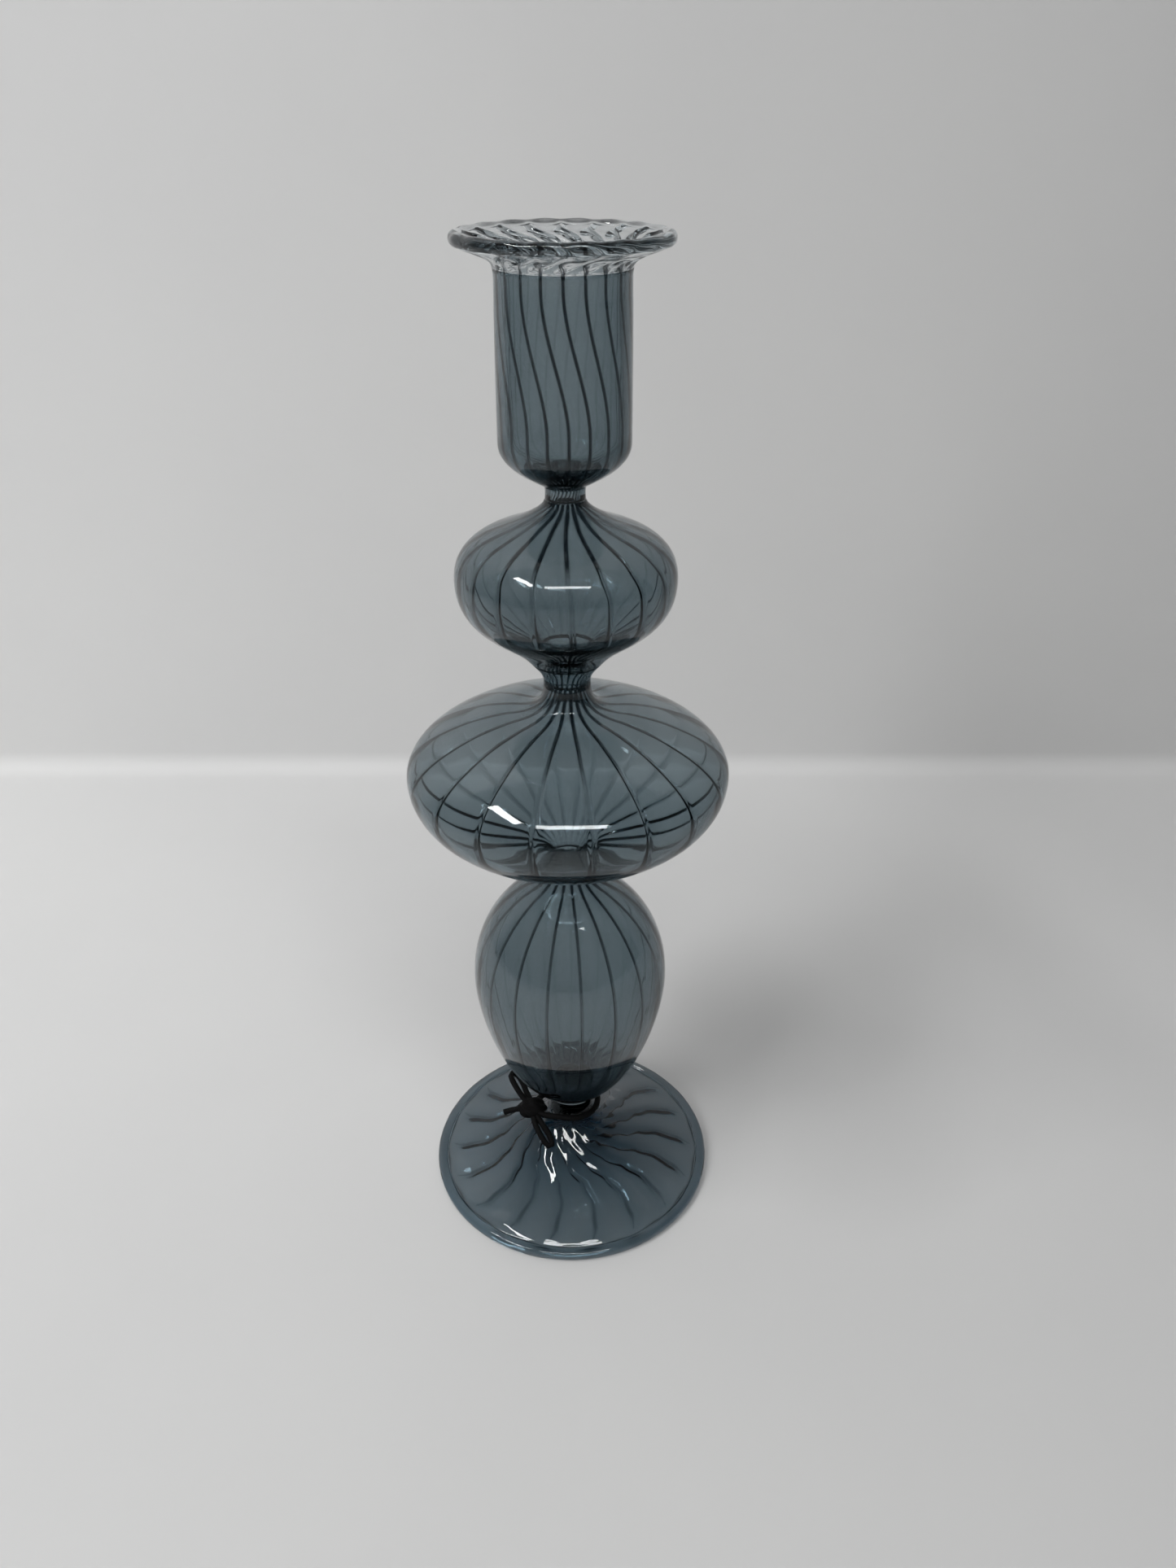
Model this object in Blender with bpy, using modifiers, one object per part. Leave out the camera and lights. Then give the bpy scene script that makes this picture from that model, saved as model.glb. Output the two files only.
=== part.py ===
"""Glass candlestick: a flared foot, three stacked hollow bulbs joined by short necks,
a tall candle cup and a turned-out drip rim, with a thin black cord tied in a bow
round the collar above the foot. Metres, +Z up, standing on z = 0, axis on the Z axis."""

import math

import bpy
import numpy as np
from mathutils import Vector

# Overall
TOTAL_HEIGHT = 0.254
JOINT_GAP = 0.0003  # left between neighbouring solids, which are fused in the real glass
WALL = 0.0022  # blown wall of the bulbs, cup and rim
BORE_RADIUS = 0.0018  # narrow hole left through the top of each blown bulb
TURN_STEPS = 40
NECK_STEPS = 32

# Foot
FOOT_RADIUS = 0.0401
FOOT_EDGE_RADIUS = 0.0015  # half the thickness of the rounded edge
FOOT_REST_WIDTH = 0.0020  # flat ring that touches the table
FOOT_SEAT_RADIUS = 0.0063
FOOT_TOP_Z = 0.0190
FOOT_UNDER_Z = 0.0115  # middle of the hollow underside

# Collar between foot and egg bulb
COLLAR_WAIST_RADIUS = 0.0061
COLLAR_END_RADIUS = 0.0067

# Egg bulb
EGG_BOTTOM_Z = 0.0275
EGG_WIDEST_Z = 0.0700
EGG_TOP_Z = 0.1040
EGG_RADIUS = 0.02595

# Wide bulb
WIDE_BOTTOM_Z = 0.1072
WIDE_WIDEST_Z = 0.1338
WIDE_TOP_Z = 0.1574
WIDE_RADIUS = 0.0393

# Small bulb
SMALL_BOTTOM_Z = 0.1632
SMALL_WIDEST_Z = 0.1832
SMALL_TOP_Z = 0.2010
SMALL_RADIUS = 0.02505

# Necks, each a narrow waist between two flares
LOWER_NECK_RADIUS = 0.0065
LOWER_NECK_WAIST = 0.0063
MIDDLE_NECK_RADIUS = 0.00555
MIDDLE_NECK_TOP_RADIUS = 0.0088
UPPER_NECK_RADIUS = 0.0046
UPPER_NECK_WAIST = 0.0044

# Candle cup and drip rim
CUP_BOTTOM_Z = 0.2040
CUP_TOP_Z = 0.2470
CUP_RADIUS = 0.01425
CUP_MOUTH_RADIUS = 0.0139
SOCKET_RADIUS = 0.0118
SOCKET_FLOOR_Z = 0.2064
RIM_RADIUS = 0.0223
RIM_LIP_RADIUS = 0.0014

# Cord tied round the collar
CORD_RADIUS = 0.00085
CORD_LOOP_RADIUS = 0.00775
CORD_LOOP_Z = 0.0212
CORD_POINT_SPACING = 0.0023
KNOT_CENTRE = (-0.0114, -0.0040, 0.0216)
KNOT_HALF_SIZE = (0.0041, 0.0029, 0.0028)


def new_collection(name):
    collection = bpy.data.collections.new(name)
    bpy.context.scene.collection.children.link(collection)
    return collection


def clear_objects():
    for old in list(bpy.data.objects):
        bpy.data.objects.remove(old, do_unlink=True)


def glass(name, colour, depth):
    """Tinted clear glass. depth darkens the colour of thicker sections."""
    material = bpy.data.materials.new(name)
    material.use_nodes = True
    shader = material.node_tree.nodes["Principled BSDF"]
    shader.inputs["Base Color"].default_value = [c * depth for c in colour] + [1.0]
    shader.inputs["Roughness"].default_value = 0.04
    shader.inputs["IOR"].default_value = 1.5
    shader.inputs["Transmission Weight"].default_value = 0.85
    return material


def cord_material(name):
    material = bpy.data.materials.new(name)
    material.use_nodes = True
    shader = material.node_tree.nodes["Principled BSDF"]
    shader.inputs["Base Color"].default_value = (0.012, 0.012, 0.013, 1.0)
    shader.inputs["Roughness"].default_value = 0.75
    return material


def bezier(start, start_handle, end_handle, end, count):
    """Points along one cubic curve, both ends included."""
    points = []
    for t in np.linspace(0.0, 1.0, count):
        s = 1.0 - t
        weights = (s**3, 3 * s * s * t, 3 * s * t * t, t**3)
        corners = (start, start_handle, end_handle, end)
        r = sum(w * c[0] for w, c in zip(weights, corners))
        z = sum(w * c[1] for w, c in zip(weights, corners))
        points.append((r, z))
    return points


def arc(centre, radius, start_degrees, end_degrees, count):
    points = []
    for angle in np.radians(np.linspace(start_degrees, end_degrees, count)):
        r = centre[0] + radius * math.cos(angle)
        z = centre[1] + radius * math.sin(angle)
        points.append((r, z))
    return points


def shoulder(end, widest, slope_degrees, reach, belly, upward, count):
    """Curve from a neck end out to the widest ring, where it stands upright.
    upward is 1 for the shoulder above the widest ring and -1 for the one below."""
    slope = math.radians(slope_degrees)
    end_handle = (end[0] + reach * math.cos(slope), end[1] - upward * reach * math.sin(slope))
    belly_handle = (widest[0], widest[1] + upward * belly)
    return bezier(end, end_handle, belly_handle, widest, count)


def inset(points, wall):
    """Moves a curve that runs down an outer side inwards by the wall thickness."""
    line = np.array(points)
    along = np.gradient(line, axis=0)
    along /= np.linalg.norm(along, axis=1)[:, None]
    inward = np.column_stack([along[:, 1], -along[:, 0]])
    return [tuple(p) for p in line + wall * inward]


def turned(name, profile, steps, material, collection):
    """Spins a profile, given from the top down its outer side, about the Z axis.
    A profile with both ends on the axis makes a solid, any other is closed into a ring."""
    mesh = bpy.data.meshes.new(name)
    edges = [(i, i + 1) for i in range(len(profile) - 1)]
    if profile[0][0] > 0.0 or profile[-1][0] > 0.0:
        edges.append((len(profile) - 1, 0))
    mesh.from_pydata([(r, 0.0, z) for r, z in profile], edges, [])
    piece = bpy.data.objects.new(name, mesh)
    mesh.materials.append(material)
    collection.objects.link(piece)
    screw = piece.modifiers.new("Turn", "SCREW")
    screw.axis = "Z"
    screw.angle = math.tau
    screw.steps = steps
    screw.render_steps = steps
    screw.use_merge_vertices = True
    screw.merge_threshold = 0.00001
    screw.use_smooth_shade = True
    return piece


def blown_profile(outer, wall):
    """Closed outline of a hollow bulb: up the inner wall from its floor on the axis,
    across the top round the bore, then down the outer side to the axis."""
    top_z = outer[0][1]
    floor_z = outer[-1][1] + wall
    inner = [p for p in inset(outer, wall) if p[0] > BORE_RADIUS * 1.5 and floor_z < p[1] < top_z - wall]
    return (
        [(0.0, floor_z)]
        + inner[::-1]
        + [(BORE_RADIUS, top_z - wall), (BORE_RADIUS, top_z)]
        + outer
        + [(0.0, outer[-1][1])]
    )


def neck_profile(top, bottom, waist_radius, waist_z, count):
    """Solid short neck from the top down, upright at its waist."""
    waist = (waist_radius, waist_z)
    upper = bezier(top, (waist_radius, (top[1] + waist_z) / 2), waist, waist, count)
    lower = bezier(waist, waist, (waist_radius, (bottom[1] + waist_z) / 2), bottom, count)
    return [(0.0, top[1])] + upper + lower[1:] + [(0.0, bottom[1])]


def foot_profile():
    edge_centre = (FOOT_RADIUS - FOOT_EDGE_RADIUS, FOOT_EDGE_RADIUS)
    edge = arc(edge_centre, FOOT_EDGE_RADIUS, 72.0, -90.0, 7)
    seat = (FOOT_SEAT_RADIUS, FOOT_TOP_Z)
    cone = bezier(seat, (0.0105, 0.0135), (0.0250, 0.0070), edge[0], 8)
    rest_inner = (edge_centre[0] - FOOT_REST_WIDTH, 0.0)
    hollow = bezier(rest_inner, (0.0250, 0.0042), (0.0120, 0.0105), (0.0, FOOT_UNDER_Z), 7)
    return [(0.0, FOOT_TOP_Z)] + cone + edge[1:] + hollow


def collar_profile():
    top = (COLLAR_END_RADIUS, EGG_BOTTOM_Z - JOINT_GAP)
    bottom = (FOOT_SEAT_RADIUS, FOOT_TOP_Z + JOINT_GAP)
    return neck_profile(top, bottom, COLLAR_WAIST_RADIUS, (top[1] + bottom[1]) / 2, 4)


def egg_profile():
    widest = (EGG_RADIUS, EGG_WIDEST_Z)
    crest = (0.0100, 0.0996)
    flare = bezier((LOWER_NECK_RADIUS, EGG_TOP_Z), (0.0066, 0.1022), (0.0080, 0.1012), crest, 5)
    upper = bezier(crest, (0.0198, 0.0928), (EGG_RADIUS, 0.0830), widest, 8)
    lower = shoulder((COLLAR_END_RADIUS, EGG_BOTTOM_Z), widest, 27.0, 0.0141, 0.0113, -1, 9)
    return blown_profile(flare[:-1] + upper + lower[-2::-1], WALL)


def lower_neck_profile():
    top = (LOWER_NECK_RADIUS, WIDE_BOTTOM_Z - JOINT_GAP)
    bottom = (LOWER_NECK_RADIUS, EGG_TOP_Z + JOINT_GAP)
    return neck_profile(top, bottom, LOWER_NECK_WAIST, (top[1] + bottom[1]) / 2, 4)


def wide_profile():
    widest = (WIDE_RADIUS, WIDE_WIDEST_Z)
    crest = (0.0140, 0.1497)
    flare = bezier((MIDDLE_NECK_RADIUS, WIDE_TOP_Z), (MIDDLE_NECK_RADIUS, 0.1516), (0.0086, 0.1504), crest, 7)
    upper = bezier(crest, (0.0209, 0.1485), (WIDE_RADIUS, 0.1421), widest, 8)
    floor_edge = (0.0130, 0.1128)
    lower = bezier(widest, (WIDE_RADIUS, 0.1215), (0.0230, 0.1162), floor_edge, 8)
    funnel = bezier(floor_edge, (0.0093, 0.1116), (LOWER_NECK_RADIUS, 0.1104), (LOWER_NECK_RADIUS, WIDE_BOTTOM_Z), 6)
    return blown_profile(flare[:-1] + upper + lower[1:-1] + funnel, WALL)


def middle_neck_profile():
    """Trumpet that opens upwards into the small bulb."""
    top = (MIDDLE_NECK_TOP_RADIUS, SMALL_BOTTOM_Z - JOINT_GAP)
    bottom = (MIDDLE_NECK_RADIUS, WIDE_TOP_Z + JOINT_GAP)
    side = bezier(top, (0.0066, 0.1607), (MIDDLE_NECK_RADIUS, 0.1597), bottom, 8)
    return [(0.0, top[1])] + side + [(0.0, bottom[1])]


def small_profile():
    widest = (SMALL_RADIUS, SMALL_WIDEST_Z)
    crest = (0.0110, 0.1961)
    flare = bezier((UPPER_NECK_RADIUS, SMALL_TOP_Z), (0.0048, 0.1999), (0.0066, 0.1982), crest, 6)
    upper = bezier(crest, (0.0170, 0.1932), (SMALL_RADIUS, 0.1920), widest, 7)
    lower = shoulder((MIDDLE_NECK_TOP_RADIUS, SMALL_BOTTOM_Z), widest, 48.0, 0.0110, 0.0109, -1, 8)
    return blown_profile(flare[:-1] + upper + lower[-2::-1], WALL)


def upper_neck_profile():
    top = (UPPER_NECK_RADIUS, CUP_BOTTOM_Z - JOINT_GAP)
    bottom = (UPPER_NECK_RADIUS, SMALL_TOP_Z + JOINT_GAP)
    return neck_profile(top, bottom, UPPER_NECK_WAIST, (top[1] + bottom[1]) / 2, 4)


def cup_profile():
    """Open cup with a rounded bottom, closed into a floor on the axis."""
    mouth = (CUP_MOUTH_RADIUS, CUP_TOP_Z)
    below_mouth = (0.01385, 0.2455)
    heel = (CUP_RADIUS, 0.2131)
    foot_ring = (UPPER_NECK_RADIUS, CUP_BOTTOM_Z)
    outer = [mouth, below_mouth] + bezier(heel, (CUP_RADIUS, 0.2092), (0.0098, 0.2068), foot_ring, 7)
    floor_edge = (0.0030, SOCKET_FLOOR_Z)
    floor_corner = (SOCKET_RADIUS, 0.2140)
    socket = bezier(floor_edge, (0.0085, 0.2076), (SOCKET_RADIUS, 0.2100), floor_corner, 7)
    inner = [(0.0, SOCKET_FLOOR_Z)] + socket + [(SOCKET_RADIUS, CUP_TOP_Z)]
    return inner + outer + [(0.0, CUP_BOTTOM_Z)]


def rim_profile():
    """Ring: flared underside, rounded lip and the dished top down into the socket."""
    base_z = CUP_TOP_Z + JOINT_GAP
    lip_centre = (RIM_RADIUS - RIM_LIP_RADIUS, TOTAL_HEIGHT - RIM_LIP_RADIUS)
    lip = arc(lip_centre, RIM_LIP_RADIUS, 160.0, -50.0, 10)
    dish = bezier((SOCKET_RADIUS, base_z), (SOCKET_RADIUS, 0.2502), (0.0160, 0.2517), lip[0], 7)
    under = bezier(lip[-1], (0.0184, 0.2500), (0.0143, 0.2492), (CUP_MOUTH_RADIUS, base_z), 7)
    return dish + lip[1:] + under[1:]


def smooth_route(route, spacing):
    """Evenly spaced points on a smooth curve through the route points."""
    points = [Vector(p) for p in route]
    padded = [2 * points[0] - points[1]] + points + [2 * points[-1] - points[-2]]
    dense = []
    for a, b, c, d in zip(padded, padded[1:], padded[2:], padded[3:]):
        for t in np.linspace(0.0, 1.0, 24, endpoint=False):
            dense.append(
                0.5 * (2 * b + (c - a) * t + (2 * a - 5 * b + 4 * c - d) * t**2 + (3 * b - a - 3 * c + d) * t**3)
            )
    dense.append(points[-1])
    lengths = np.cumsum([0.0] + [(q - p).length for p, q in zip(dense, dense[1:])])
    count = max(3, round(lengths[-1] / spacing) + 1)
    stations = np.linspace(0.0, lengths[-1], count)
    axes = [np.interp(stations, lengths, [p[i] for p in dense]) for i in range(3)]
    return list(zip(*axes))


def cord_piece(name, route, material, collection):
    """Round cord along a smooth curve through the route points, with closed ends."""
    curve = bpy.data.curves.new(name, "CURVE")
    curve.dimensions = "3D"
    curve.bevel_depth = CORD_RADIUS
    curve.bevel_resolution = 2
    curve.use_fill_caps = True
    points = smooth_route(route, CORD_POINT_SPACING)
    spline = curve.splines.new("POLY")
    spline.points.add(len(points) - 1)
    for point, place in zip(spline.points, points):
        point.co = (*place, 1.0)
    curve.materials.append(material)
    piece = bpy.data.objects.new(name, curve)
    collection.objects.link(piece)
    return piece


def bow_route(root, tip, spread):
    """Teardrop loop out from the knot to the tip and back. spread is the sideways half width."""
    root, tip, spread = Vector(root), Vector(tip), Vector(spread)
    belly = root.lerp(tip, 0.55)
    near_tip = root.lerp(tip, 0.90)
    return [
        root + 0.75 * spread,
        belly + spread,
        near_tip + 0.75 * spread,
        tip,
        near_tip - 0.75 * spread,
        belly - spread,
        root - 0.75 * spread,
    ]


def collar_loop_route():
    """Once round the collar, with both ends turned outwards to the knot."""
    route = [(-0.0072, -0.0066, CORD_LOOP_Z)]
    for angle in np.radians(np.arange(250.0, 525.0, 22.5)):
        route.append((CORD_LOOP_RADIUS * math.cos(angle), CORD_LOOP_RADIUS * math.sin(angle), CORD_LOOP_Z))
    route.append((-0.0090, 0.0006, CORD_LOOP_Z))
    return route


def knot(name, material, collection):
    """Rounded lump of the pulled-tight knot."""
    count = 9
    profile = arc((0.0, 0.0), 1.0, 90.0, -90.0, count)
    profile[0] = (0.0, 1.0)
    profile[-1] = (0.0, -1.0)
    piece = turned(name, profile, 16, material, collection)
    piece.location = KNOT_CENTRE
    piece.scale = KNOT_HALF_SIZE
    return piece


def build():
    clear_objects()
    parts = new_collection("glass_candlestick")
    thin = glass("smoky_glass_thin", (0.36, 0.42, 0.45), 1.0)
    blown = glass("smoky_glass_blown", (0.36, 0.42, 0.45), 0.85)
    thick = glass("smoky_glass_thick", (0.36, 0.42, 0.45), 0.6)
    cord = cord_material("black_cord")

    turned("foot", foot_profile(), TURN_STEPS, thick, parts)
    turned("foot_collar", collar_profile(), NECK_STEPS, thick, parts)
    turned("egg_bulb", egg_profile(), TURN_STEPS, blown, parts)
    turned("lower_neck", lower_neck_profile(), NECK_STEPS, thick, parts)
    turned("wide_bulb", wide_profile(), TURN_STEPS, blown, parts)
    turned("middle_neck", middle_neck_profile(), NECK_STEPS, thick, parts)
    turned("small_bulb", small_profile(), TURN_STEPS, blown, parts)
    turned("upper_neck", upper_neck_profile(), NECK_STEPS, thick, parts)
    turned("candle_cup", cup_profile(), TURN_STEPS, thin, parts)
    turned("drip_rim", rim_profile(), TURN_STEPS, thin, parts)

    cord_piece("tie_loop", collar_loop_route(), cord, parts)
    knot("tie_knot", cord, parts)
    upper_bow = bow_route((-0.0140, -0.0004, 0.0237), (-0.0172, 0.0052, 0.0262), (0.0013, 0.0006, -0.0006))
    cord_piece("tie_bow_upper", upper_bow, cord, parts)
    lower_bow = bow_route((-0.0098, -0.0078, 0.0199), (-0.0057, -0.0125, 0.0150), (0.0009, 0.0006, 0.0002))
    cord_piece("tie_bow_lower", lower_bow, cord, parts)
    tail = [(-0.0164, -0.0042, 0.0213), (-0.0178, -0.0044, 0.0208), (-0.0196, -0.0046, 0.0203)]
    cord_piece("tie_tail", tail, cord, parts)


build()
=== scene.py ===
"""Looks of the glass candlestick: ribbed smoky glass sections, a black cord bow, a pale
table and soft light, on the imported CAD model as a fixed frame. Metres, +Z up."""

import math

import bpy
import numpy as np
from mathutils import Matrix, Vector


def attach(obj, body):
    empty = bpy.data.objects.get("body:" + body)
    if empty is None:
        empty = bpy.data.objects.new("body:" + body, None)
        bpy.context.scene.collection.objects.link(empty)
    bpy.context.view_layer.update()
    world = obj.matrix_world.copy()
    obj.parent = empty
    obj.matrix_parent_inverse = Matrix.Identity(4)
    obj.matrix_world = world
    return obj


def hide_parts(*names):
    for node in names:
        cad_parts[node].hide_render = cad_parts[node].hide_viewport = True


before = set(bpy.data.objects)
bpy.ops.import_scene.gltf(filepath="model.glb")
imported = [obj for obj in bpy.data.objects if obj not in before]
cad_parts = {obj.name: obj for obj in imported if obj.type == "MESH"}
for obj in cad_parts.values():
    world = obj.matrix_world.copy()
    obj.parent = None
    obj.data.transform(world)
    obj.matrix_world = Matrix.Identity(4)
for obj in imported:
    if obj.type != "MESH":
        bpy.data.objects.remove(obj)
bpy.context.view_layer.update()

MM = 0.001
BODY = "root"


# ---------------------------------------------------------------- camera
FOCAL_PX = 1448.0
IMAGE_HEIGHT_PX = 1927
SENSOR_MM = 36.0
CAMERA_PLACE = (0.0049, -0.2502, 0.2788)
CAMERA_PITCH_DEGREES = 30.9


def add_camera():
    data = bpy.data.cameras.new("view")
    data.sensor_fit = "VERTICAL"
    data.sensor_height = SENSOR_MM
    data.lens = SENSOR_MM * FOCAL_PX / IMAGE_HEIGHT_PX
    data.clip_start = 0.01
    camera = bpy.data.objects.new("view", data)
    bpy.context.scene.collection.objects.link(camera)
    camera.location = CAMERA_PLACE
    camera.rotation_euler = (math.radians(90.0 - CAMERA_PITCH_DEGREES), 0.0, 0.0)
    bpy.context.scene.camera = camera


add_camera()


# ---------------------------------------------------------------- helpers
def link(piece):
    bpy.context.scene.collection.objects.link(piece)
    return piece


def bezier(start, start_handle, end_handle, end, count):
    t = np.linspace(0.0, 1.0, count)[:, None]
    s = 1.0 - t
    corners = [np.array(c, float) for c in (start, start_handle, end_handle, end)]
    return s**3 * corners[0] + 3 * s * s * t * corners[1] + 3 * s * t * t * corners[2] + t**3 * corners[3]


def arc(centre, radius, start_degrees, end_degrees, count):
    angle = np.radians(np.linspace(start_degrees, end_degrees, count))
    return np.column_stack([centre[0] + radius * np.cos(angle), centre[1] + radius * np.sin(angle)])


def shoulder(end, widest, slope_degrees, reach, belly, count):
    """Curve from a narrow lower end, rising at a slope, up to the widest point."""
    slope = math.radians(slope_degrees)
    end_handle = (end[0] + reach * math.cos(slope), end[1] + reach * math.sin(slope))
    return bezier(end, end_handle, (widest[0], widest[1] - belly), widest, count)


def joined(*runs):
    """One line from several runs that share their end points."""
    line = [np.array(runs[0], float)]
    for run in runs[1:]:
        line.append(np.array(run, float)[1:])
    return np.vstack(line)


def outward(line):
    """Unit normals on the right of a line that runs down an outer side."""
    along = np.gradient(line, axis=0)
    along /= np.linalg.norm(along, axis=1)[:, None]
    return np.column_stack([-along[:, 1], along[:, 0]])


def respaced(line, count):
    steps = np.linalg.norm(np.diff(line, axis=0), axis=1)
    length = np.concatenate([[0.0], np.cumsum(steps)])
    stations = np.linspace(0.0, length[-1], count)
    return np.column_stack([np.interp(stations, length, line[:, i]) for i in range(2)])


def table(value, pairs):
    """Smooth step between given pairs of (where, what)."""
    pairs = sorted(pairs)
    where = np.array([p[0] for p in pairs])
    what = np.array([p[1] for p in pairs])
    k = np.clip(np.searchsorted(where, value) - 1, 0, len(where) - 2)
    t = np.clip((value - where[k]) / (where[k + 1] - where[k]), 0.0, 1.0)
    t = t * t * (3.0 - 2.0 * t)
    return what[k] + (what[k + 1] - what[k]) * t


# ---------------------------------------------------------------- materials
def new_material(name):
    material = bpy.data.materials.new(name)
    material.use_nodes = True
    tree = material.node_tree
    return material, tree, tree.nodes["Principled BSDF"]


def noise(tree, scale, detail, coords):
    node = tree.nodes.new("ShaderNodeTexNoise")
    node.inputs["Scale"].default_value = scale
    node.inputs["Detail"].default_value = detail
    tree.links.new(coords, node.inputs["Vector"])
    return node.outputs["Fac"]


def spread_to(tree, value, low, high):
    node = tree.nodes.new("ShaderNodeMapRange")
    node.inputs["From Min"].default_value = 0.3
    node.inputs["From Max"].default_value = 0.7
    node.inputs["To Min"].default_value = low
    node.inputs["To Max"].default_value = high
    tree.links.new(value, node.inputs["Value"])
    return node.outputs["Result"]


GLASS_ABSORPTION = (0.173, 0.31, 0.367, 1.0)
FOOT_ABSORPTION = (0.15, 0.34, 0.44, 1.0)
RIB_PAINTED_SHADE = (0.003, 0.005, 0.008, 1.0)
ENTERING_SHARE = 0.15  # of the painted rib shade, where light enters the glass instead of leaving it
GLASS_IOR = 1.5


def smoky_glass(name, density, wave, absorption=GLASS_ABSORPTION):
    """Clear glass whose smoky blue-grey comes from what it absorbs along the way. The cores of
    the ribs carry painted shade, near black, standing in for the dark lines that refraction
    draws along them: full on back faces, where light leaves the glass, less on front faces."""
    material, tree, shader = new_material(name)
    # Painted shade: the rib attribute mixes the base colour towards a near-black tint along the rib cores
    rib = tree.nodes.new("ShaderNodeAttribute")
    rib.attribute_name = "rib"
    painted_shade_mix = tree.nodes.new("ShaderNodeMix")
    painted_shade_mix.data_type = "RGBA"
    painted_shade_mix.inputs["A"].default_value = (1.0, 1.0, 1.0, 1.0)
    painted_shade_mix.inputs["B"].default_value = RIB_PAINTED_SHADE
    inside = tree.nodes.new("ShaderNodeMapRange")
    inside.inputs["To Min"].default_value = ENTERING_SHARE
    tree.links.new(tree.nodes.new("ShaderNodeNewGeometry").outputs["Backfacing"], inside.inputs["Value"])
    darkened = tree.nodes.new("ShaderNodeMath")
    darkened.operation = "MULTIPLY"
    tree.links.new(rib.outputs["Fac"], darkened.inputs[0])
    tree.links.new(inside.outputs["Result"], darkened.inputs[1])
    tree.links.new(darkened.outputs["Value"], painted_shade_mix.inputs["Factor"])
    tree.links.new(painted_shade_mix.outputs["Result"], shader.inputs["Base Color"])
    shader.inputs["IOR"].default_value = GLASS_IOR
    shader.inputs["Transmission Weight"].default_value = 1.0
    coords = tree.nodes.new("ShaderNodeTexCoord").outputs["Object"]
    patchy = noise(tree, 90.0, 3.0, coords)
    tree.links.new(spread_to(tree, patchy, 0.0, 0.02), shader.inputs["Roughness"])
    ripple = noise(tree, 130.0, 1.0, coords)
    bump = tree.nodes.new("ShaderNodeBump")
    bump.inputs["Strength"].default_value = wave
    bump.inputs["Distance"].default_value = 0.0004
    tree.links.new(ripple, bump.inputs["Height"])
    tree.links.new(bump.outputs["Normal"], shader.inputs["Normal"])
    volume = tree.nodes.new("ShaderNodeVolumeAbsorption")
    volume.inputs["Color"].default_value = absorption
    volume.inputs["Density"].default_value = density
    output = tree.nodes["Material Output"]
    tree.links.new(volume.outputs["Volume"], output.inputs["Volume"])
    return material


def cord_material():
    material, tree, shader = new_material("waxed_cord")
    coords = tree.nodes.new("ShaderNodeTexCoord").outputs["Object"]
    fibre = noise(tree, 2200.0, 4.0, coords)
    ramp = tree.nodes.new("ShaderNodeValToRGB")
    ramp.color_ramp.elements[0].color = (0.001, 0.001, 0.0012, 1.0)
    ramp.color_ramp.elements[1].color = (0.005, 0.005, 0.0052, 1.0)
    tree.links.new(fibre, ramp.inputs["Fac"])
    tree.links.new(ramp.outputs["Color"], shader.inputs["Base Color"])
    tree.links.new(spread_to(tree, fibre, 0.6, 0.85), shader.inputs["Roughness"])
    shader.inputs["Specular IOR Level"].default_value = 0.12
    bump = tree.nodes.new("ShaderNodeBump")
    bump.inputs["Strength"].default_value = 0.5
    bump.inputs["Distance"].default_value = 0.0001
    tree.links.new(fibre, bump.inputs["Height"])
    tree.links.new(bump.outputs["Normal"], shader.inputs["Normal"])
    return material


def joint_contact():
    """Where two sections are fused, light passes straight from one to the next."""
    material, _, shader = new_material("fused_joint")
    shader.inputs["Base Color"].default_value = (1.0, 1.0, 1.0, 1.0)
    shader.inputs["Alpha"].default_value = 0.0
    return material


blown = smoky_glass("smoky_glass_blown", 500.0, 0.10)
thin = smoky_glass("smoky_glass_thin", 470.0, 0.08)
rim_glass = smoky_glass("smoky_glass_rim", 80.0, 0.12)
thick = smoky_glass("smoky_glass_thick", 420.0, 0.10)
foot_glass = smoky_glass("smoky_glass_foot", 360.0, 0.5, FOOT_ABSORPTION)
collar_glass = smoky_glass("smoky_glass_collar", 110.0, 0.15)
contact_material = joint_contact()
cord_black = cord_material()


# ---------------------------------------------------------------- cord
CORD_RADIUS = 0.00085
CORD_LOOP_RADIUS = 0.00775
CORD_LOOP_Z = 0.0212
CORD_POINT_SPACING = 0.0013


def smooth_route(route, spacing):
    points = [Vector(p) for p in route]
    padded = [2 * points[0] - points[1]] + points + [2 * points[-1] - points[-2]]
    dense = []
    for a, b, c, d in zip(padded, padded[1:], padded[2:], padded[3:]):
        for t in np.linspace(0.0, 1.0, 24, endpoint=False):
            bend = (2 * a - 5 * b + 4 * c - d) * t**2
            twist = (3 * b - a - 3 * c + d) * t**3
            dense.append(0.5 * (2 * b + (c - a) * t + bend + twist))
    dense.append(points[-1])
    lengths = np.cumsum([0.0] + [(q - p).length for p, q in zip(dense, dense[1:])])
    count = max(3, round(lengths[-1] / spacing) + 1)
    stations = np.linspace(0.0, lengths[-1], count)
    return np.column_stack([np.interp(stations, lengths, [p[i] for p in dense]) for i in range(3)])


def bow_route(root, tip, spread):
    root, tip, spread = Vector(root), Vector(tip), Vector(spread)
    belly = root.lerp(tip, 0.55)
    near_tip = root.lerp(tip, 0.90)
    return [
        root + 0.75 * spread,
        belly + spread,
        near_tip + 0.75 * spread,
        tip,
        near_tip - 0.75 * spread,
        belly - spread,
        root - 0.75 * spread,
    ]


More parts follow.
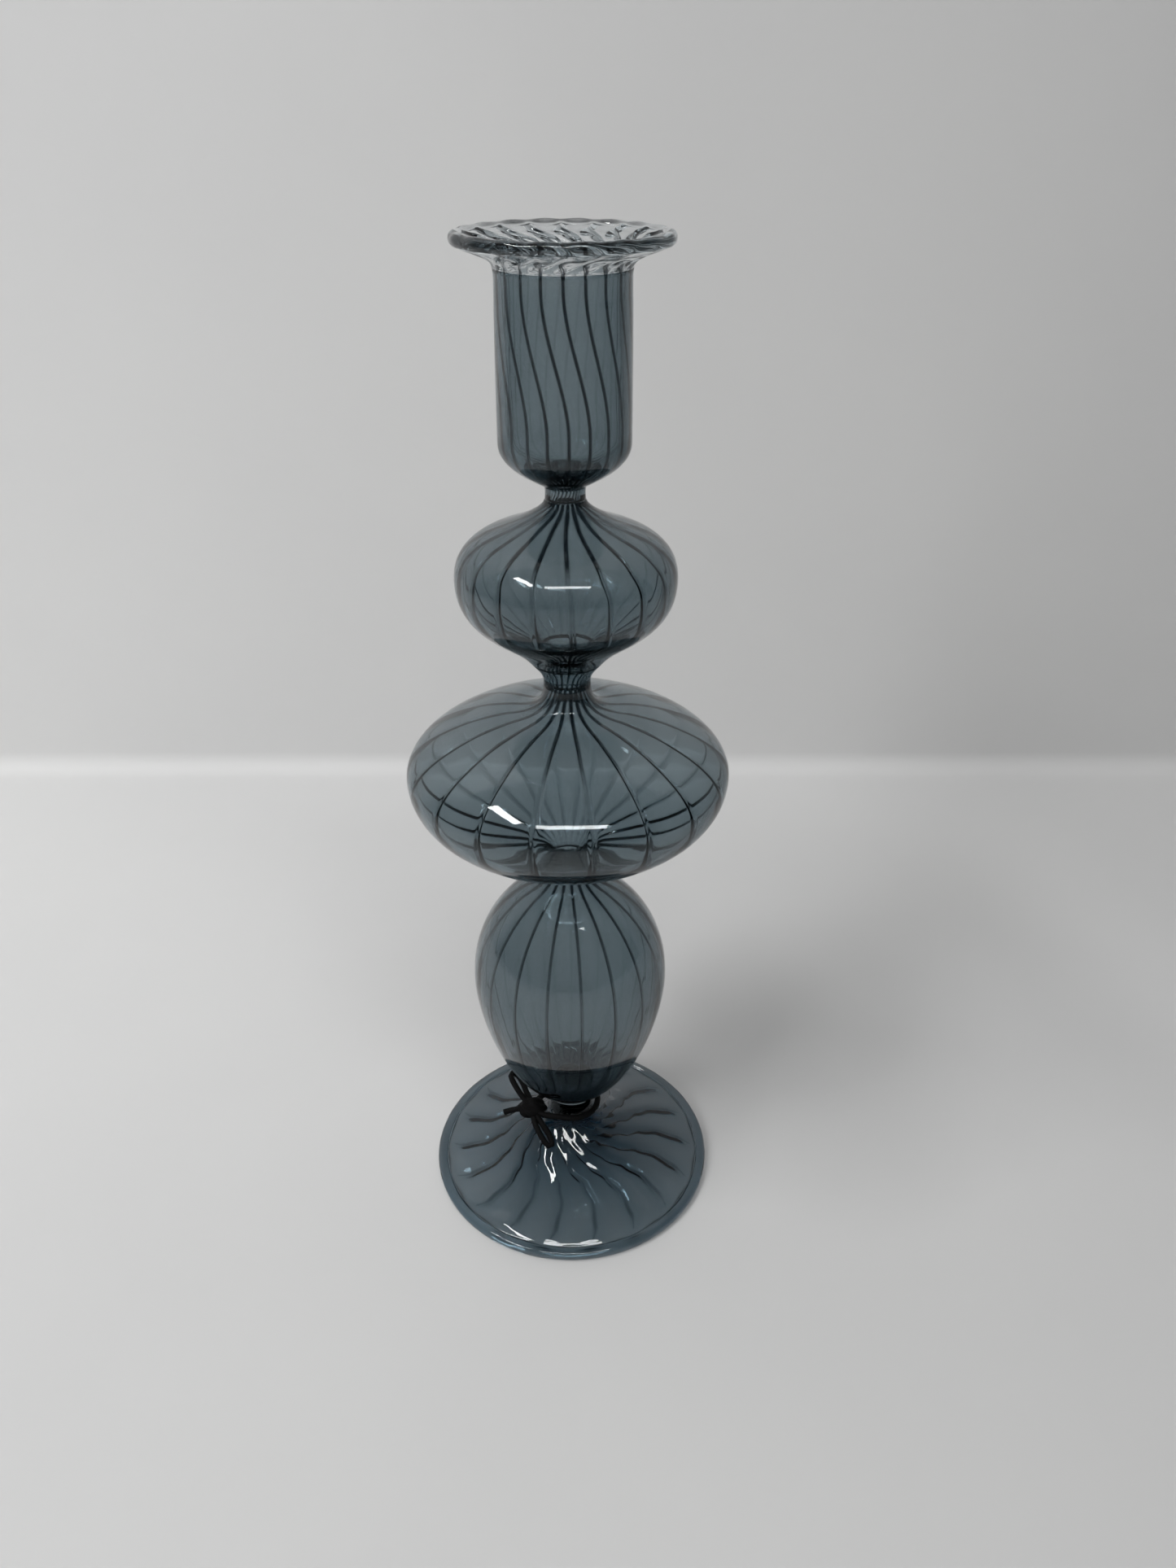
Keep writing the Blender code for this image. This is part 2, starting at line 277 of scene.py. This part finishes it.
def cord_route():
    """From the cut tail into the knot, once round the collar, then out and back along
    both loops of the bow, ending inside the knot."""
    route = [(-0.0196, -0.0046, 0.0203), (-0.0178, -0.0044, 0.0208), (-0.0150, -0.0043, 0.0214)]
    route += [(-0.0112, -0.0052, 0.0219), (-0.0072, -0.0066, CORD_LOOP_Z)]
    for angle in np.radians(np.arange(250.0, 525.0, 22.5)):
        across = CORD_LOOP_RADIUS * math.cos(angle)
        route.append((across, CORD_LOOP_RADIUS * math.sin(angle), CORD_LOOP_Z))
    route += [(-0.0090, 0.0006, CORD_LOOP_Z), (-0.0112, -0.0022, 0.0222)]
    route += bow_route((-0.0140, -0.0004, 0.0237), (-0.0172, 0.0052, 0.0262), (0.0013, 0.0006, -0.0006))
    route += [(-0.0122, -0.0038, 0.0222)]
    route += bow_route((-0.0098, -0.0078, 0.0199), (-0.0057, -0.0125, 0.0150), (0.0009, 0.0006, 0.0002))
    route += [(-0.0112, -0.0046, 0.0216)]
    return route


def make_cord():
    points = smooth_route(cord_route(), CORD_POINT_SPACING)
    curve = bpy.data.curves.new("tie_cord", "CURVE")
    curve.dimensions = "3D"
    curve.bevel_depth = CORD_RADIUS
    curve.bevel_resolution = 3
    curve.use_fill_caps = True
    spline = curve.splines.new("POLY")
    spline.points.add(len(points) - 1)
    for point, place in zip(spline.points, points):
        point.co = (*place, 1.0)
    curve.materials.append(cord_black)
    length = float(np.linalg.norm(np.diff(points, axis=0), axis=1).sum())
    return link(bpy.data.objects.new("tie_cord", curve)), length, tuple(points[0])


def make_knot():
    """Lumpy wrap of the pulled-tight knot."""
    bpy.ops.mesh.primitive_uv_sphere_add(segments=48, ring_count=32, radius=1.0)
    piece = bpy.context.object
    piece.name = "tie_knot_wrap"
    for vertex in piece.data.vertices:
        x, y, z = vertex.co
        groove = 1.0 + 0.07 * math.cos(9.0 * (0.8 * x + 0.6 * z)) + 0.05 * math.cos(7.0 * y + 4.0 * z)
        vertex.co = (x * 0.0041 * groove, y * 0.0029 * groove, z * 0.0028 * groove)
    piece.location = (-0.0114, -0.0040, 0.0216)
    for face in piece.data.polygons:
        face.use_smooth = True
    piece.data.materials.append(cord_black)
    return piece


cord_object, cord_length, cord_start = make_cord()
knot_object = make_knot()
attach(cord_object, BODY)
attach(knot_object, BODY)
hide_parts("tie_loop", "tie_bow_upper", "tie_bow_lower", "tie_tail")
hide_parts("tie_knot")


# ---------------------------------------------------------------- ribbed glass
# Profiles are in millimetres here and become metres in turned().
FRONT = -89.0  # angle that the rib phases are counted from, in degrees
SEAM = 0.02  # that each section stops short of its joints
RIBS = 18
EGG_RIBS = 17
RIB_OFFSETS = (0.0, 0.3, 0.6, 0.9, 1.25, 1.7, 2.4)
FILL_OFFSET = 0.5


def rib_columns(count, phase_degrees, radius, half_width):
    """Angles of every column at one height, closely spaced on the ribs, with the distance
    from the nearest rib in half widths and in rib spacings."""
    pitch = math.tau / count
    width = min(half_width / max(radius, 0.01), 0.14 * pitch)
    side = [o * width for o in RIB_OFFSETS]
    side.append(side[-1] + FILL_OFFSET * (pitch / 2 - side[-1]))
    around = np.array([-a for a in side[:0:-1]] + side + [pitch / 2])
    turns = math.radians(phase_degrees) + pitch * np.arange(count)
    angles = (turns[:, None] + around[None, :]).ravel()
    offsets = np.tile(np.abs(around) / width, count)
    places = np.tile(np.abs(around) / pitch, count)
    return angles, offsets, places


class Rows:
    """A profile line with the rib settings of each of its points."""

    def __init__(
        self, line, phase, height=0.0, width=0.3, scallop=0.0, painted_rib_shade=0.0, shade=0.0, stroke=0.42
    ):
        self.line = np.array(line, float)
        count = len(self.line)
        self.phase = np.broadcast_to(phase, count).astype(float)
        self.height = np.broadcast_to(height, count).astype(float)
        self.width = np.broadcast_to(width, count).astype(float)
        self.scallop = np.broadcast_to(scallop, count).astype(float)
        self.painted_rib_shade = np.broadcast_to(painted_rib_shade, count).astype(float)
        self.shade = np.broadcast_to(shade, count).astype(float)
        self.stroke = np.broadcast_to(stroke, count).astype(float)

    def __add__(self, other):
        both = Rows(np.vstack([self.line, other.line]), 0.0)
        for name in ("phase", "height", "width", "scallop", "painted_rib_shade", "shade", "stroke"):
            setattr(both, name, np.concatenate([getattr(self, name), getattr(other, name)]))
        return both


def turned(name, node, rows, count, material, contact=(), ring=None):
    """Spins the rows about the Z axis into one closed piece. Rows that start and end on the
    axis make a solid, others are closed into a ring. contact lists the row intervals that
    lie against the next section."""
    line = rows.line * MM
    normal = outward(line)
    solid = line[0, 0] == 0.0
    places = []
    painted_shades = []
    for i, (r, z) in enumerate(line):
        angles, offsets, between = rib_columns(count, rows.phase[i], r / MM, rows.width[i])
        rib = np.exp(-offsets**2)
        lift = MM * (rows.height[i] * rib + rows.scallop[i] * (0.5 + 0.5 * np.cos(math.tau * between)))
        if r == 0.0:
            lift = lift * 0.0
        radius = r + lift * normal[i, 0]
        height = z + lift * normal[i, 1]
        places.append(np.column_stack([radius * np.cos(angles), radius * np.sin(angles), height]))
        # Painted shade: a dark band along each rib core, plus the shade rows' dark lines, goes into the rib
        # attribute
        across = offsets * rows.width[i] / rows.stroke[i]
        band = np.clip(2.0 * np.exp(-1.2 * across**2) - 0.2, 0.0, 1.0)
        weight, extra = (1.0, 1.0) if ring is None else ring(r / MM, between)
        painted_shades.append(rows.painted_rib_shade[i] * band * weight + rows.shade[i] * extra)
    columns = len(places[0])
    vertices = np.vstack(places)
    faces = []
    marks = []
    for i in range(len(line) - 1 if solid else len(line)):
        j = (i + 1) % len(line)
        for c in range(columns):
            d = (c + 1) % columns
            a, b, e, f = i * columns + c, j * columns + c, j * columns + d, i * columns + d
            if line[i, 0] == 0.0:
                faces.append((i * columns, b, e))
            elif line[j, 0] == 0.0:
                faces.append((a, j * columns, f))
            else:
                faces.append((a, b, e, f))
            marks.append(i in contact)
    used = sorted({v for face in faces for v in face})
    renumbered = {v: k for k, v in enumerate(used)}
    mesh = bpy.data.meshes.new(name)
    mesh.from_pydata(vertices[used].tolist(), [], [tuple(renumbered[v] for v in face) for face in faces])
    painted_rib_shade = mesh.attributes.new("rib", "FLOAT", "POINT")
    painted_rib_shade.data.foreach_set("value", np.concatenate(painted_shades)[used])
    mesh.materials.append(material)
    if contact:
        mesh.materials.append(contact_material)
        mesh.polygons.foreach_set("material_index", [int(m) for m in marks])
    mesh.polygons.foreach_set("use_smooth", [not m for m in marks])
    piece = link(bpy.data.objects.new(name, mesh))
    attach(piece, BODY)
    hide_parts(node)
    return piece


def cut(line, top, bottom):
    """The line with its ends drawn back from the joints."""
    line = line.copy()
    line[0, 1] = top - SEAM
    line[-1, 1] = bottom + SEAM
    return line


def inner_of(line, thickness):
    """Inner wall, from the bottom to the top, thickness given as pairs of (z, wall)."""
    wall = table(line[:, 1], thickness)
    inner = line - outward(line) * wall[:, None]
    inner[0, 1] = line[0, 1]
    inner[-1, 1] = line[-1, 1]
    return inner[::-1]


def hollow(name, node, line, thickness, count, phase_at, ribs, material,
           contact_top=False, contact_bottom=False, stroke=0.34):
    """A blown section open at both ends. ribs gives (z, height, width, scallop, painted rib shade)."""
    inner = inner_of(line, thickness)
    z = inner[:, 1]
    columns = [table(z, [(row[0], row[k]) for row in ribs]) for k in (1, 2, 3, 4)]
    rows = Rows(line, phase_at(line[:, 1])) + Rows(inner, phase_at(z), *columns, 0.0, stroke)
    contact = []
    if contact_bottom:
        contact.append(len(line) - 1)
    if contact_top:
        contact.append(len(line) + len(inner) - 1)
    return turned(name, node, rows, count, material, tuple(contact))


# Wide bulb
wide_line = respaced(joined(
    bezier((5.55, 157.4), (5.55, 151.6), (8.6, 150.4), (14.0, 149.7), 60),
    bezier((14.0, 149.7), (20.9, 148.5), (39.3, 142.1), (39.3, 133.8), 60),
    bezier((39.3, 133.8), (39.3, 121.5), (23.0, 116.2), (13.0, 112.8), 60),
    bezier((13.0, 112.8), (9.3, 111.6), (6.5, 110.4), (6.5, 107.2), 60),
), 92)


def wide_phase(z):
    return FRONT + 8.0 + table(z, [(100.0, 0.0), (146.0, 0.0), (150.0, 1.0), (156.4, 5.0), (160.0, 5.0)])


# The last value of each ribs row is painted shade on the rib cores.
hollow(
    "wide_bulb_glass", "wide_bulb", cut(wide_line, 157.4, 107.2),
    [(107.0, 2.6), (112.0, 2.6), (120.0, 1.7), (146.0, 1.6), (151.0, 2.2), (157.4, 2.8)], RIBS, wide_phase,
    [(107.0, 0.20, 0.20, 0.0, 0.8), (111.0, 0.30, 0.34, 0.0, 0.6), (114.0, 0.55, 0.60, 0.05, 0.15),
     (119.0, 0.50, 0.80, 0.1, 0.05), (134.0, 0.34, 0.56, 0.1, 0.12), (143.0, 0.28, 0.46, 0.1, 0.15),
     (146.5, 0.22, 0.34, 0.05, 0.9), (149.0, 0.20, 0.26, 0.0, 1.0), (152.0, 0.18, 0.22, 0.0, 1.0),
     (157.4, 0.16, 0.16, 0.0, 1.0)],
    blown, contact_bottom=True, stroke=0.50,
)

# Small bulb
small_line = respaced(joined(
    bezier((4.5, 201.0), (4.75, 199.9), (6.6, 198.2), (11.0, 196.1), 60),
    bezier((11.0, 196.1), (17.0, 193.2), (25.05, 192.0), (25.05, 183.2), 60),
    shoulder((8.8, 163.2), (25.05, 183.2), 48.0, 11.0, 10.9, 60)[::-1],
), 68)


def small_phase(z):
    lower = [(160.0, 6.0), (165.0, 5.0), (185.0, 3.0)]
    upper = [(190.0, 1.0), (195.0, 0.0), (200.0, 9.0), (204.0, 30.0)]
    return FRONT + table(z, lower + upper)


# The last value of each ribs row is painted shade on the rib cores.
hollow(
    "small_bulb_glass", "small_bulb", cut(small_line, 201.0, 163.2),
    [(163.2, 3.4), (168.0, 2.7), (174.0, 1.9), (192.0, 1.8), (197.0, 2.0), (201.0, 2.3)], RIBS, small_phase,
    [(163.2, 0.22, 0.22, 0.0, 1.0), (168.0, 0.30, 0.38, 0.05, 0.8), (172.0, 0.28, 0.50, 0.1, 0.0),
     (183.0, 0.32, 0.50, 0.1, 0.25), (189.0, 0.28, 0.42, 0.1, 0.3), (191.5, 0.22, 0.34, 0.05, 1.0),
     (194.0, 0.20, 0.26, 0.0, 1.0), (198.0, 0.18, 0.22, 0.0, 1.0), (201.0, 0.16, 0.16, 0.0, 1.0)],
    blown, contact_top=True, stroke=0.56,
)

# Egg bulb, closed below by a pad of solid glass
egg_line = respaced(joined(
    bezier((6.5, 104.0), (6.6, 102.2), (8.0, 101.2), (10.0, 99.6), 60),
    bezier((10.0, 99.6), (19.8, 92.8), (25.95, 83.0), (25.95, 70.0), 60),
    shoulder((6.7, 27.5), (25.95, 70.0), 27.0, 14.1, 11.3, 60)[::-1],
), 72)


def egg_piece():
    outer = cut(egg_line, 104.0, 27.5)
    inner = inner_of(outer, [(27.5, 2.6), (34.0, 2.2), (45.0, 1.9), (95.0, 1.9), (104.0, 2.4)])
    inner = inner[(inner[:, 0] > 3.6) & (inner[:, 1] > 31.0)]
    floor = bezier((0.0, 30.6), (1.6, 30.6), (2.6, 30.7), inner[0], 7)[:-1]
    z = inner[:, 1]
    height = table(z, [(31.0, 0.24), (60.0, 0.20), (85.0, 0.18), (100.0, 0.18)])
    width = table(z, [(31.0, 0.26), (60.0, 0.30), (85.0, 0.24), (100.0, 0.20)])
    # Painted shade along the egg's rib cores, set by height.
    painted_rib_shade = table(z, [(31.0, 0.9), (42.0, 0.45), (70.0, 0.55), (85.0, 0.85), (100.0, 1.0)])
    phase = FRONT + 7.0
    rows = (
        Rows(floor, phase)
        + Rows(inner, phase, height, width, 0.12, painted_rib_shade)
        + Rows(outer, phase)
        + Rows([(4.0, 27.5 + SEAM), (0.0, 27.5 + SEAM)], phase)
    )
    top_ring = len(floor) + len(inner) - 1
    base = (len(rows.line) - 3, len(rows.line) - 2)
    turned("egg_bulb_glass", "egg_bulb", rows, EGG_RIBS, blown, (top_ring,) + base)


egg_piece()


# Necks
def neck_line(top, bottom, waist, waist_z, count):
    middle = (waist, waist_z)
    upper = bezier(top, (waist, (top[1] + waist_z) / 2), middle, middle, count)
    lower = bezier(middle, middle, (waist, (bottom[1] + waist_z) / 2), bottom, count)
    return joined(upper, lower)


upper_neck = cut(neck_line((4.65, 204.0), (4.5, 201.0), 4.4, 202.5, 8), 204.0, 201.0)
middle_neck = cut(bezier((8.8, 163.2), (6.6, 160.7), (5.55, 159.7), (5.55, 157.4), 18), 163.2, 157.4)
lower_neck = cut(neck_line((6.5, 107.2), (6.5, 104.0), 6.3, 105.6, 8), 107.2, 104.0)


def middle_phase(z):
    return FRONT + 6.0 + (z - 163.2) * 1.2


def lower_phase(z):
    return np.full_like(z, FRONT + 8.0)


# The last value of each ribs row is painted shade on the rib cores.
hollow("upper_neck_glass", "upper_neck", upper_neck, [(201.0, 2.3), (204.0, 2.4)], RIBS, small_phase,
       [(201.0, 0.16, 0.16, 0.0, 1.0), (204.0, 0.18, 0.18, 0.0, 1.0)], thick,
       contact_bottom=True, stroke=0.22)
hollow("middle_neck_glass", "middle_neck", middle_neck, [(157.4, 2.8), (163.2, 3.4)], RIBS, middle_phase,
       [(157.4, 0.18, 0.20, 0.0, 1.0), (163.2, 0.24, 0.34, 0.0, 1.0)], thick)
hollow("lower_neck_glass", "lower_neck", lower_neck, [(104.0, 2.4), (107.2, 2.6)], EGG_RIBS, lower_phase,
       [(104.0, 0.30, 0.2, 0.0, 0.5), (107.2, 0.30, 0.2, 0.0, 0.5)], thick,
       contact_top=True, contact_bottom=True)


# Collar
def collar_piece():
    line = cut(neck_line((6.7, 27.5), (6.3, 19.0), 6.1, 23.2, 10), 27.5, 19.0)
    rows = Rows([(0.0, line[0, 1]), (3.5, line[0, 1])], 0.0) + Rows(line, 0.0)
    rows = rows + Rows([(3.5, line[-1, 1]), (0.0, line[-1, 1])], 0.0)
    last = len(rows.line) - 2
    ends = (0, 1, last - 1, last)
    turned("foot_collar_glass", "foot_collar", rows, EGG_RIBS, collar_glass, ends)


collar_piece()


# Candle cup
def cup_phase(z):
    return FRONT + table(z, [(204.0, 24.0), (216.5, 24.0), (245.0, 0.0), (248.0, 0.0)])


def cup_piece():
    outer = respaced(joined(
        [(14.0, 247.3), (13.82, 246.0), (13.85, 243.0), (13.95, 240.0)],
        [(13.95, 240.0), (14.1, 230.0), (14.2, 220.0), (14.25, 213.1)],
        bezier((14.25, 213.1), (14.25, 209.2), (9.8, 206.8), (4.65, 204.0), 30),
    ), 56)
    outer = cut(outer, 247.3, 204.0)
    inner = respaced(joined(
        bezier((0.0, 206.3), (4.5, 206.3), (12.1, 209.0), (12.1, 214.5), 30),
        [(12.1, 214.5), (12.05, 230.0), (11.95, 247.3 - SEAM)],
    ), 52)
    z = inner[:, 1]
    phase = cup_phase(z)
    height = table(z, [(206.3, 0.0), (207.0, 0.15), (212.0, 0.18), (247.0, 0.17)])
    width = table(z, [(206.3, 0.24), (247.0, 0.19)])
    height[0] = 0.0
    rows = (
        # The inner wall carries full painted shade on its rib cores.
        Rows(inner, phase, height, width, np.where(height > 0.0, 0.05, 0.0), 1.0, 0.0, 0.36)
        + Rows(outer, cup_phase(outer[:, 1]))
        + Rows([(0.0, outer[-1, 1])], FRONT)
    )
    turned("candle_cup_glass", "candle_cup", rows, RIBS, thin)


cup_piece()


# Drip rim
def rim_phase(r):
    return FRONT + table(r, [(11.0, 0.0), (12.5, 0.0), (17.5, 21.0), (23.0, 21.0)])


def rim_piece():
    lip = arc((20.9, 252.6), 1.4, 160.0, -50.0, 18)
    dish = bezier((11.95, 247.3 + SEAM), (11.95, 250.2), (16.0, 251.7), lip[0], 26)
    under = bezier(lip[-1], (18.4, 250.0), (14.3, 249.2), (14.0, 247.3 + SEAM), 24)
    lip_wave = -0.22 * np.sin(np.linspace(0.0, math.pi, 16))
    # Painted shade: a thin dark line round the lip's outer edge.
    lip_painted_shade_line = 0.95 * np.exp(-(((np.linspace(160.0, -50.0, 18)[1:-1] + 2.0) / 16.0) ** 2))
    under_wave = -0.45 * np.sin(np.linspace(0.0, math.pi, 24)) ** 0.5
    dish_height = table(dish[:, 0], [(11.9, 0.30), (13.5, 0.60), (17.0, 0.65), (19.2, 0.30)])
    dish_width = table(dish[:, 0], [(11.9, 0.24), (14.0, 0.45), (17.0, 0.60), (19.4, 0.7)])
    # Painted shade on the dish's rib cores, fading outwards.
    dish_painted_shade = table(dish[:, 0], [(11.9, 1.0), (14.0, 0.9), (18.0, 0.5), (19.5, 0.0)])
    rows = (
        Rows(dish, rim_phase(dish[:, 0]), dish_height, dish_width, 0.1, dish_painted_shade)
        + Rows(lip[1:-1], rim_phase(lip[1:-1, 0]), 0.0, 0.7, lip_wave, 0.0, lip_painted_shade_line)
        + Rows(under, rim_phase(under[:, 0]), 0.0, 1.0, under_wave)
    )
    turned("drip_rim_glass", "drip_rim", rows, RIBS, rim_glass)


rim_piece()

# Foot
# Painted shade on the foot's rib strokes, and a painted wavy line of shade inside its edge.
FOOT_RIB_PAINTED_SHADE = 0.7
EDGE_LINE_RADIUS = 36.85
EDGE_LINE_WAVE = 0.32
EDGE_LINE_WIDTH = 0.5
FOOT_TWIST = [(0.0, -40.0), (6.3, -40.0), (10.0, -25.0), (15.0, -12.0), (20.0, -1.0),
              (25.0, 2.5), (31.0, 1.0), (38.0, -3.5), (40.1, -4.5)]


def foot_phase(r):
    return 41.8 + table(r, FOOT_TWIST)


def wavy_ring(r, between):
    """Painted shade on the foot's ribs, and how dark the painted wavy line of shade inside its edge is."""
    middle = EDGE_LINE_RADIUS + EDGE_LINE_WAVE * np.cos(math.tau * between)
    return FOOT_RIB_PAINTED_SHADE, np.exp(-(((r - middle) / EDGE_LINE_WIDTH) ** 2))


def foot_piece():
    edge = arc((38.6, 1.5), 1.5, 100.0, -90.0, 22)
    top = bezier((6.3, 19.0 - SEAM), (10.5, 13.5), (25.0, 6.6), (37.3, 2.65), 46)
    top = top[:-2]
    groove = bezier(top[-1], (36.7, 2.75), (36.9, 2.30), (37.25, 2.35), 8)[1:]
    bank = bezier(groove[-1], (37.5, 2.4), (37.9, 2.95), edge[0], 7)[1:]
    rest = [(38.4, 0.0), (38.2, 0.01)]
    flank = bezier((38.2, 0.01), (37.9, 0.1), (37.4, 0.8), (35.4, 1.5), 19)[1:]
    hollow_line = bezier((35.4, 1.5), (25.0, 4.6), (12.0, 10.5), (0.0, 11.5), 44)[1:]
    near_collar = [(6.3, 0.0), (8.5, 0.10), (13.0, 0.22)]
    top_wave = table(top[:, 0], near_collar + [(20.0, 0.32), (35.0, 0.24), (37.3, 0.1)])
    under_r = hollow_line[:, 0]
    height = table(under_r, [(0.0, 0.0), (5.0, 0.0), (12.0, 0.3), (22.0, 0.5), (32.0, 0.5), (35.4, 0.1)])
    width = table(under_r, [(0.0, 0.4), (12.0, 0.8), (24.0, 1.5), (36.5, 1.6)])
    # Painted shade on the rib strokes of the foot's underside.
    painted_shade_start = [(0.0, 0.0), (15.0, 0.0), (21.0, 0.7)]
    painted_rib_shade = table(under_r, painted_shade_start + [(31.0, 1.0), (34.6, 0.7), (35.4, 0.0)])
    stroke = table(under_r, [(14.0, 0.25), (24.0, 0.50), (31.0, 0.62), (35.4, 0.3)])
    rows = (
        Rows([(0.0, 19.0 - SEAM), (3.5, 19.0 - SEAM)], 0.0)
        + Rows(top, foot_phase(top[:, 0]), 0.0, 1.0, top_wave)
        + Rows(groove, foot_phase(groove[:, 0]), 0.0, 1.0, 0.08)
        + Rows(bank, foot_phase(bank[:, 0]), 0.0, 1.0, 0.06)
        + Rows(edge[1:], foot_phase(edge[1:, 0]))
        + Rows(rest, foot_phase(np.array([38.4, 38.2])))
        # The flank carries the painted wavy line of shade, placed by wavy_ring.
        + Rows(flank, foot_phase(flank[:, 0]), 0.0, 1.0, np.linspace(0.0, 0.1, 18), 0.0, 1.0)
        + Rows(hollow_line, foot_phase(under_r), height, width, 0.1, painted_rib_shade, 0.0, stroke)
    )
    rows.scallop[-1] = 0.0
    turned("foot_glass", "foot", rows, RIBS, foot_glass, (0, 1), wavy_ring)


foot_piece()


# ---------------------------------------------------------------- surroundings
def sweep_surface():
    """Pale table that turns up into a wall behind the object."""
    fold = 0.230
    bend = 0.009
    line = [(-3.0, 0.0), (-0.6, 0.0), (fold - bend, 0.0)]
    for angle in np.radians(np.linspace(-90.0, 0.0, 14))[1:]:
        line.append((fold - bend + bend * math.cos(angle), bend + bend * math.sin(angle)))
    line.append((fold, 1.2))
    vertices = [(x, y, z) for x in (-2.2, 2.2) for y, z in line]
    n = len(line)
    faces = [(i, n + i, n + i + 1, i + 1) for i in range(n - 1)]
    mesh = bpy.data.meshes.new("table_sweep")
    mesh.from_pydata(vertices, [], faces)
    for face in mesh.polygons:
        face.use_smooth = True
    surface = link(bpy.data.objects.new("table_sweep", mesh))
    surface.location.z = -0.0001
    material, tree, shader = new_material("pale_table")
    coords = tree.nodes.new("ShaderNodeTexCoord").outputs["Object"]
    mottle = noise(tree, 3.0, 5.0, coords)
    ramp = tree.nodes.new("ShaderNodeValToRGB")
    ramp.color_ramp.elements[0].position = 0.3
    ramp.color_ramp.elements[1].position = 0.7
    ramp.color_ramp.elements[0].color = (0.60, 0.60, 0.60, 1.0)
    ramp.color_ramp.elements[1].color = (0.66, 0.66, 0.655, 1.0)
    tree.links.new(mottle, ramp.inputs["Fac"])
    tree.links.new(ramp.outputs["Color"], shader.inputs["Base Color"])
    shader.inputs["Roughness"].default_value = 0.6
    mesh.materials.append(material)


PANEL_WIDTH = 0.16
PANEL_HEIGHT = 1.5
OBJECT_MIDDLE = (0.0, 0.0, 0.13)


def panel(name, corner_a, corner_b, width, height, strength, target=OBJECT_MIDDLE):
    """Rectangular light between two points, width across, aimed at the target."""
    a = Vector((corner_a[0], corner_a[1], height))
    b = Vector((corner_b[0], corner_b[1], height))
    data = bpy.data.lights.new(name, "AREA")
    data.shape = "RECTANGLE"
    data.size = (b - a).length
    data.size_y = width
    data.energy = strength
    lamp = link(bpy.data.objects.new(name, data))
    middle = (a + b) / 2
    lamp.location = middle
    along = (b - a).normalized()
    back = (middle - Vector(target)).normalized()
    across = back.cross(along).normalized()
    along = across.cross(back).normalized()
    lamp.rotation_euler = Matrix((along, across, back)).transposed().to_euler()
    return lamp


def surroundings():
    """Room light: brighter on the left and overhead, darker on the right and in front. The
    softbox lights the table and wall, and is left out of what the glass reflects."""
    world = bpy.data.worlds.new("room")
    world.use_nodes = True
    tree = world.node_tree
    direction = tree.nodes.new("ShaderNodeSeparateXYZ")
    tree.links.new(tree.nodes.new("ShaderNodeTexCoord").outputs["Generated"], direction.inputs["Vector"])

    def graded(axis, low, high):
        node = tree.nodes.new("ShaderNodeMapRange")
        node.inputs["From Min"].default_value = -1.0
        node.inputs["From Max"].default_value = 1.0
        node.inputs["To Min"].default_value = low
        node.inputs["To Max"].default_value = high
        tree.links.new(direction.outputs[axis], node.inputs["Value"])
        return node.outputs["Result"]

    product = tree.nodes.new("ShaderNodeMath")
    product.operation = "MULTIPLY"
    tree.links.new(graded("X", 0.5, 0.1), product.inputs[0])
    tree.links.new(graded("Z", 0.0, 0.90), product.inputs[1])
    facing = tree.nodes.new("ShaderNodeMath")
    facing.operation = "MULTIPLY"
    tree.links.new(product.outputs["Value"], facing.inputs[0])
    tree.links.new(graded("Y", 0.5, 1.5), facing.inputs[1])
    background = tree.nodes["Background"]
    background.inputs["Color"].default_value = (0.60, 0.61, 0.62, 1.0)
    tree.links.new(facing.outputs["Value"], background.inputs["Strength"])
    bpy.context.scene.world = world
    panel("overhead_panel", (-0.47, -0.85), (0.60, -0.85), PANEL_WIDTH, PANEL_HEIGHT, 8.0)
    panel("left_panel", (-0.92, -0.10), (-0.73, -0.72), PANEL_WIDTH, PANEL_HEIGHT, 7.5)
    softbox = panel("softbox", (-1.0, -0.45), (-0.6, -0.85), 0.55, 0.8, 1.6, (-0.30, 0.20, 0.12))
    softbox.data.spread = math.radians(75.0)
    softbox.visible_glossy = False
    softbox.visible_transmission = False


sweep_surface()
surroundings()
bpy.context.scene.view_settings.view_transform = "Standard"
